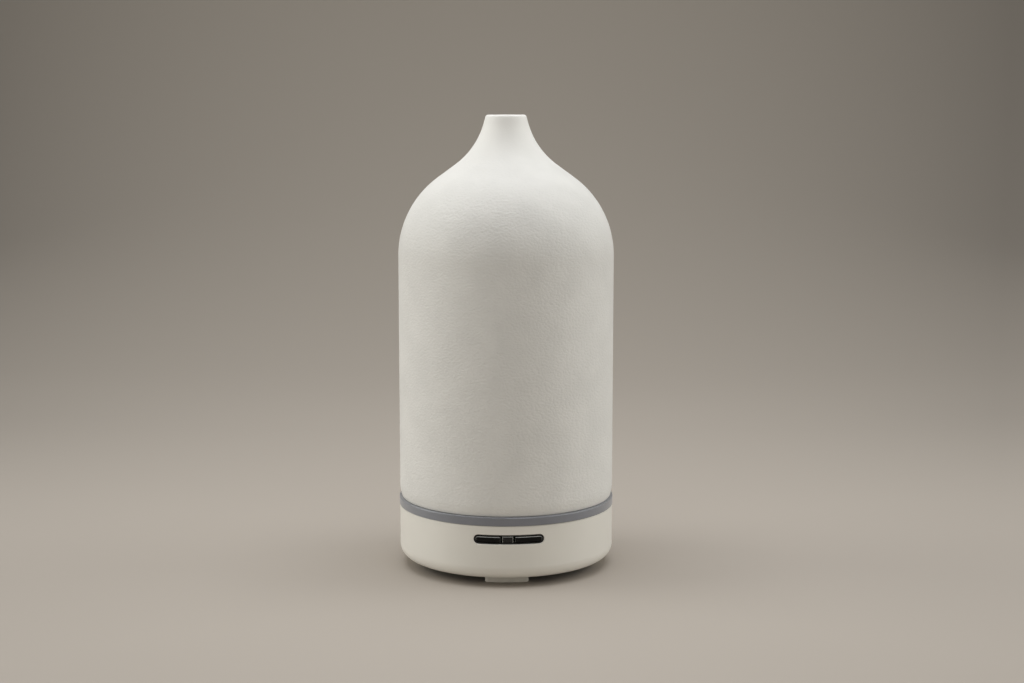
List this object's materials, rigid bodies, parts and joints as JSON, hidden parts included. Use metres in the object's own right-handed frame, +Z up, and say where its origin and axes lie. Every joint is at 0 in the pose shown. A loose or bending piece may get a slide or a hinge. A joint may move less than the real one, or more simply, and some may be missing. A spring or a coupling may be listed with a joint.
{
  "type": "essential oil diffuser",
  "caption": "Ultrasonic essential oil diffuser: white textured ceramic bottle-shaped cover over a water tank, on a cream base with a light ring and a slot of black keys.",
  "frame": {"origin": "on the table under the middle of the object, at the underside of the feet", "axes": "+Z up along the object's axis, -Y out through the control window, +Y out through the power inlet, +X to the right seen from the window"},
  "size_m": [0.091, 0.091, 0.19],
  "materials": {
    "bisque_ceramic": "matt, slip-textured white stoneware",
    "cream_plastic": "satin moulded ABS",
    "frosted_acrylic": "frosted translucent light guide",
    "tank_plastic": "satin moulded polypropylene",
    "mist_cover_plastic": "translucent polypropylene",
    "foot_rubber": "soft cream elastomer",
    "gloss_black": "polished black",
    "smoked_lens": "smoked clear",
    "black_plastic": "satin black glass-filled",
    "circuit_board": "green solder mask",
    "chip_black": "moulded epoxy",
    "screw_steel": "zinc plated",
    "heat_sink_alloy": "extruded",
    "contact_brass": "nickel-free brass",
    "disc_silver": "silvered piezo ceramic",
    "seal_silicone": "silicone",
    "core_ferrite": "ferrite and lacquered wire",
    "capacitor_can": "sleeved can",
    "led_package": "white package, clear resin",
    "connector_white": "nylon",
    "lead_insulation": "PVC",
    "stator_steel": "laminated core and copper"
  },
  "bodies": {
    "base": {"air_duct": "black_plastic", "base_shell": "cream_plastic", "board_screws": "screw_steel", "bottom_cover": "black_plastic", "bottom_screws": "screw_steel", "capacitor_large": "capacitor_can", "capacitor_small": "capacitor_can", "clamp_screws": "screw_steel", "connector_fan": "connector_white", "connector_keys": "connector_white", "connector_led": "connector_white", "connector_transducer": "connector_white", "control_chip": "chip_black", "dc_jack": "black_plastic", "driver_board": "circuit_board", "fan_bearing": "contact_brass", "fan_frame": "black_plastic", "fan_lead": "lead_insulation", "fan_screws": "screw_steel", "fan_stator": "stator_steel", "foot_back": "foot_rubber", "foot_front": "foot_rubber", "foot_left": "foot_rubber", "foot_right": "foot_rubber", "heat_sink": "heat_sink_alloy", "indicator_window": "smoked_lens", "inductor": "core_ferrite", "jack_contact": "contact_brass", "jack_pin": "contact_brass", "key_board": "circuit_board", "key_board_screws": "screw_steel", "key_frame": "black_plastic", "key_lead": "lead_insulation", "led_board": "circuit_board", "led_chips": "led_package", "led_lead": "lead_insulation", "light_ring": "frosted_acrylic", "light_switch": "chip_black", "mist_switch": "chip_black", "power_transistor": "chip_black", "status_led": "led_package", "tank": "tank_plastic", "transducer_clamp": "black_plastic", "transducer_disc": "disc_silver", "transducer_lead": "lead_insulation", "transducer_seal": "seal_silicone"},
    "cover": {"ceramic_cover": "bisque_ceramic"},
    "inner_cover_body": {"inner_cover": "mist_cover_plastic"},
    "light_key_body": {"light_key": "gloss_black"},
    "mist_key_body": {"mist_key": "gloss_black"},
    "fan_rotor_body": {"fan_rotor": "black_plastic", "fan_shaft": "screw_steel"}
  },
  "joints": [
    {"name": "cover_lift", "type": "slide", "parent": "base", "child": "cover", "axis": [0, 0, 1], "range_m": [0, 0.16]},
    {"name": "inner_cover_lift", "type": "slide", "parent": "base", "child": "inner_cover_body", "axis": [0, 0, 1], "range_m": [0, 0.06]},
    {"name": "light_key_press", "type": "slide", "parent": "base", "child": "light_key_body", "axis": [0, 1, 0], "range_m": [0, 0.0004], "stiffness_N_per_m": 1200},
    {"name": "mist_key_press", "type": "slide", "parent": "base", "child": "mist_key_body", "axis": [0, 1, 0], "range_m": [0, 0.0004], "stiffness_N_per_m": 1200},
    {"name": "fan_spin", "type": "hinge", "parent": "base", "child": "fan_rotor_body", "pos_m": [-0.017, 0, 0.011], "axis": [0, 0, 1], "continuous": true}
  ]
}
